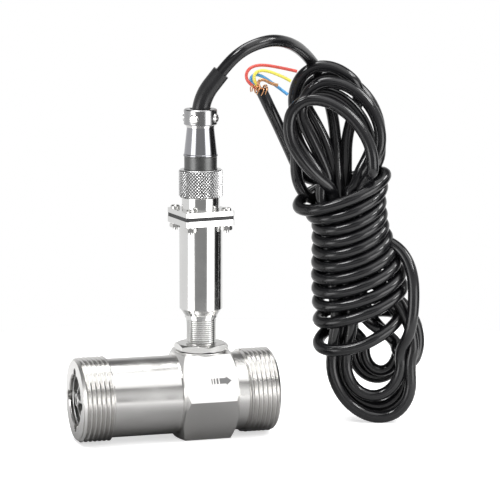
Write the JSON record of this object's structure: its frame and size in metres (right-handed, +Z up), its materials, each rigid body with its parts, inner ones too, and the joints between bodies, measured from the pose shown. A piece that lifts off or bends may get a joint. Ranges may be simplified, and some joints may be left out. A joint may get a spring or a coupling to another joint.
{
  "type": "turbine flow sensor",
  "caption": "Turbine flow sensor: a short steel pipe with threaded ends and a spinning rotor, an upright pickup with a screwed plug, and its cable wound in a hank.",
  "frame": {"origin": "on the floor under the middle of the pipe length and on the pipe axis in plan, with the lower flat of the hexagon on the floor", "axes": "+X along the pipe with the flow, +Z up along the pickup, +Y away from the label face"},
  "size_m": [0.1829, 0.0591, 0.1987],
  "materials": {
    "turned_steel": "fine turned stainless steel",
    "guide_steel": "turned stainless steel",
    "rotor_steel": "machined magnetic stainless steel",
    "bearing_bronze": "plain bronze bush",
    "ground_steel": "ground steel",
    "polished_steel": "polished stainless steel",
    "nut_steel": "plated steel",
    "bobbin_plastic": "moulded nylon",
    "copper_wire": "bare copper wire",
    "magnet_metal": "sintered magnet",
    "board_green": "green circuit board",
    "gasket_rubber": "black rubber sheet",
    "insert_plastic": "black phenolic",
    "contact_brass": "gilt contacts",
    "ring_chrome": "bright nickel plating",
    "shell_black": "glossy black moulding",
    "sleeve_rubber": "black rubber sleeve",
    "cable_jacket": "glossy black jacket",
    "core_red": "red insulation",
    "core_yellow": "yellow insulation",
    "core_blue": "blue insulation"
  },
  "bodies": {
    "meter": {"flow_body": "turned_steel", "inlet_guide": "guide_steel", "outlet_guide": "guide_steel", "inlet_bearing": "bearing_bronze", "outlet_bearing": "bearing_bronze", "inlet_snap_ring": "guide_steel", "outlet_snap_ring": "guide_steel", "pickup_housing": "polished_steel", "stem_nut": "nut_steel", "stem_washer": "nut_steel", "pole_pin": "ground_steel", "coil_bobbin": "bobbin_plastic", "coil_winding": "copper_wire", "pickup_magnet": "magnet_metal", "preamp_board": "board_green", "flange_gasket": "gasket_rubber", "socket_shell": "polished_steel", "socket_insert": "insert_plastic", "socket_pins": "contact_brass", "flange_screws": "nut_steel", "flange_washers": "nut_steel", "flange_nuts": "nut_steel"},
    "rotor": {"rotor": "rotor_steel", "rotor_shaft": "ground_steel"},
    "plug": {"plug_shell": "shell_black", "plug_insert": "insert_plastic", "plug_contacts": "contact_brass", "ring_retainer": "nut_steel", "clamp_ferrule": "ring_chrome", "clamp_collar": "ring_chrome", "clamp_screws": "ring_chrome", "cable_sleeve": "sleeve_rubber", "cable_lead": "cable_jacket", "cable_hank": "cable_jacket", "cable_tail": "cable_jacket", "red_core": "core_red", "yellow_core": "core_yellow", "blue_core": "core_blue", "shield_braid": "copper_wire"},
    "ring": {"coupling_ring": "ring_chrome"}
  },
  "joints": [
    {"name": "rotor_spin", "type": "hinge", "parent": "meter", "child": "rotor", "pos_m": [0.0144, 0, 0.02125], "axis": [1, 0, 0], "continuous": true},
    {"name": "plug_lift", "type": "slide", "parent": "meter", "child": "plug", "axis": [0, 0, 1], "range_m": [0, 0.005]},
    {"name": "ring_turn", "type": "hinge", "parent": "plug", "child": "ring", "pos_m": [0.0144, 0, 0.1264], "axis": [0, 0, 1], "range_deg": [0, 1800]}
  ],
  "couplings": [
    {"joint": "ring_turn", "follows": "plug_lift", "rad_per_m": 6283.2}
  ]
}
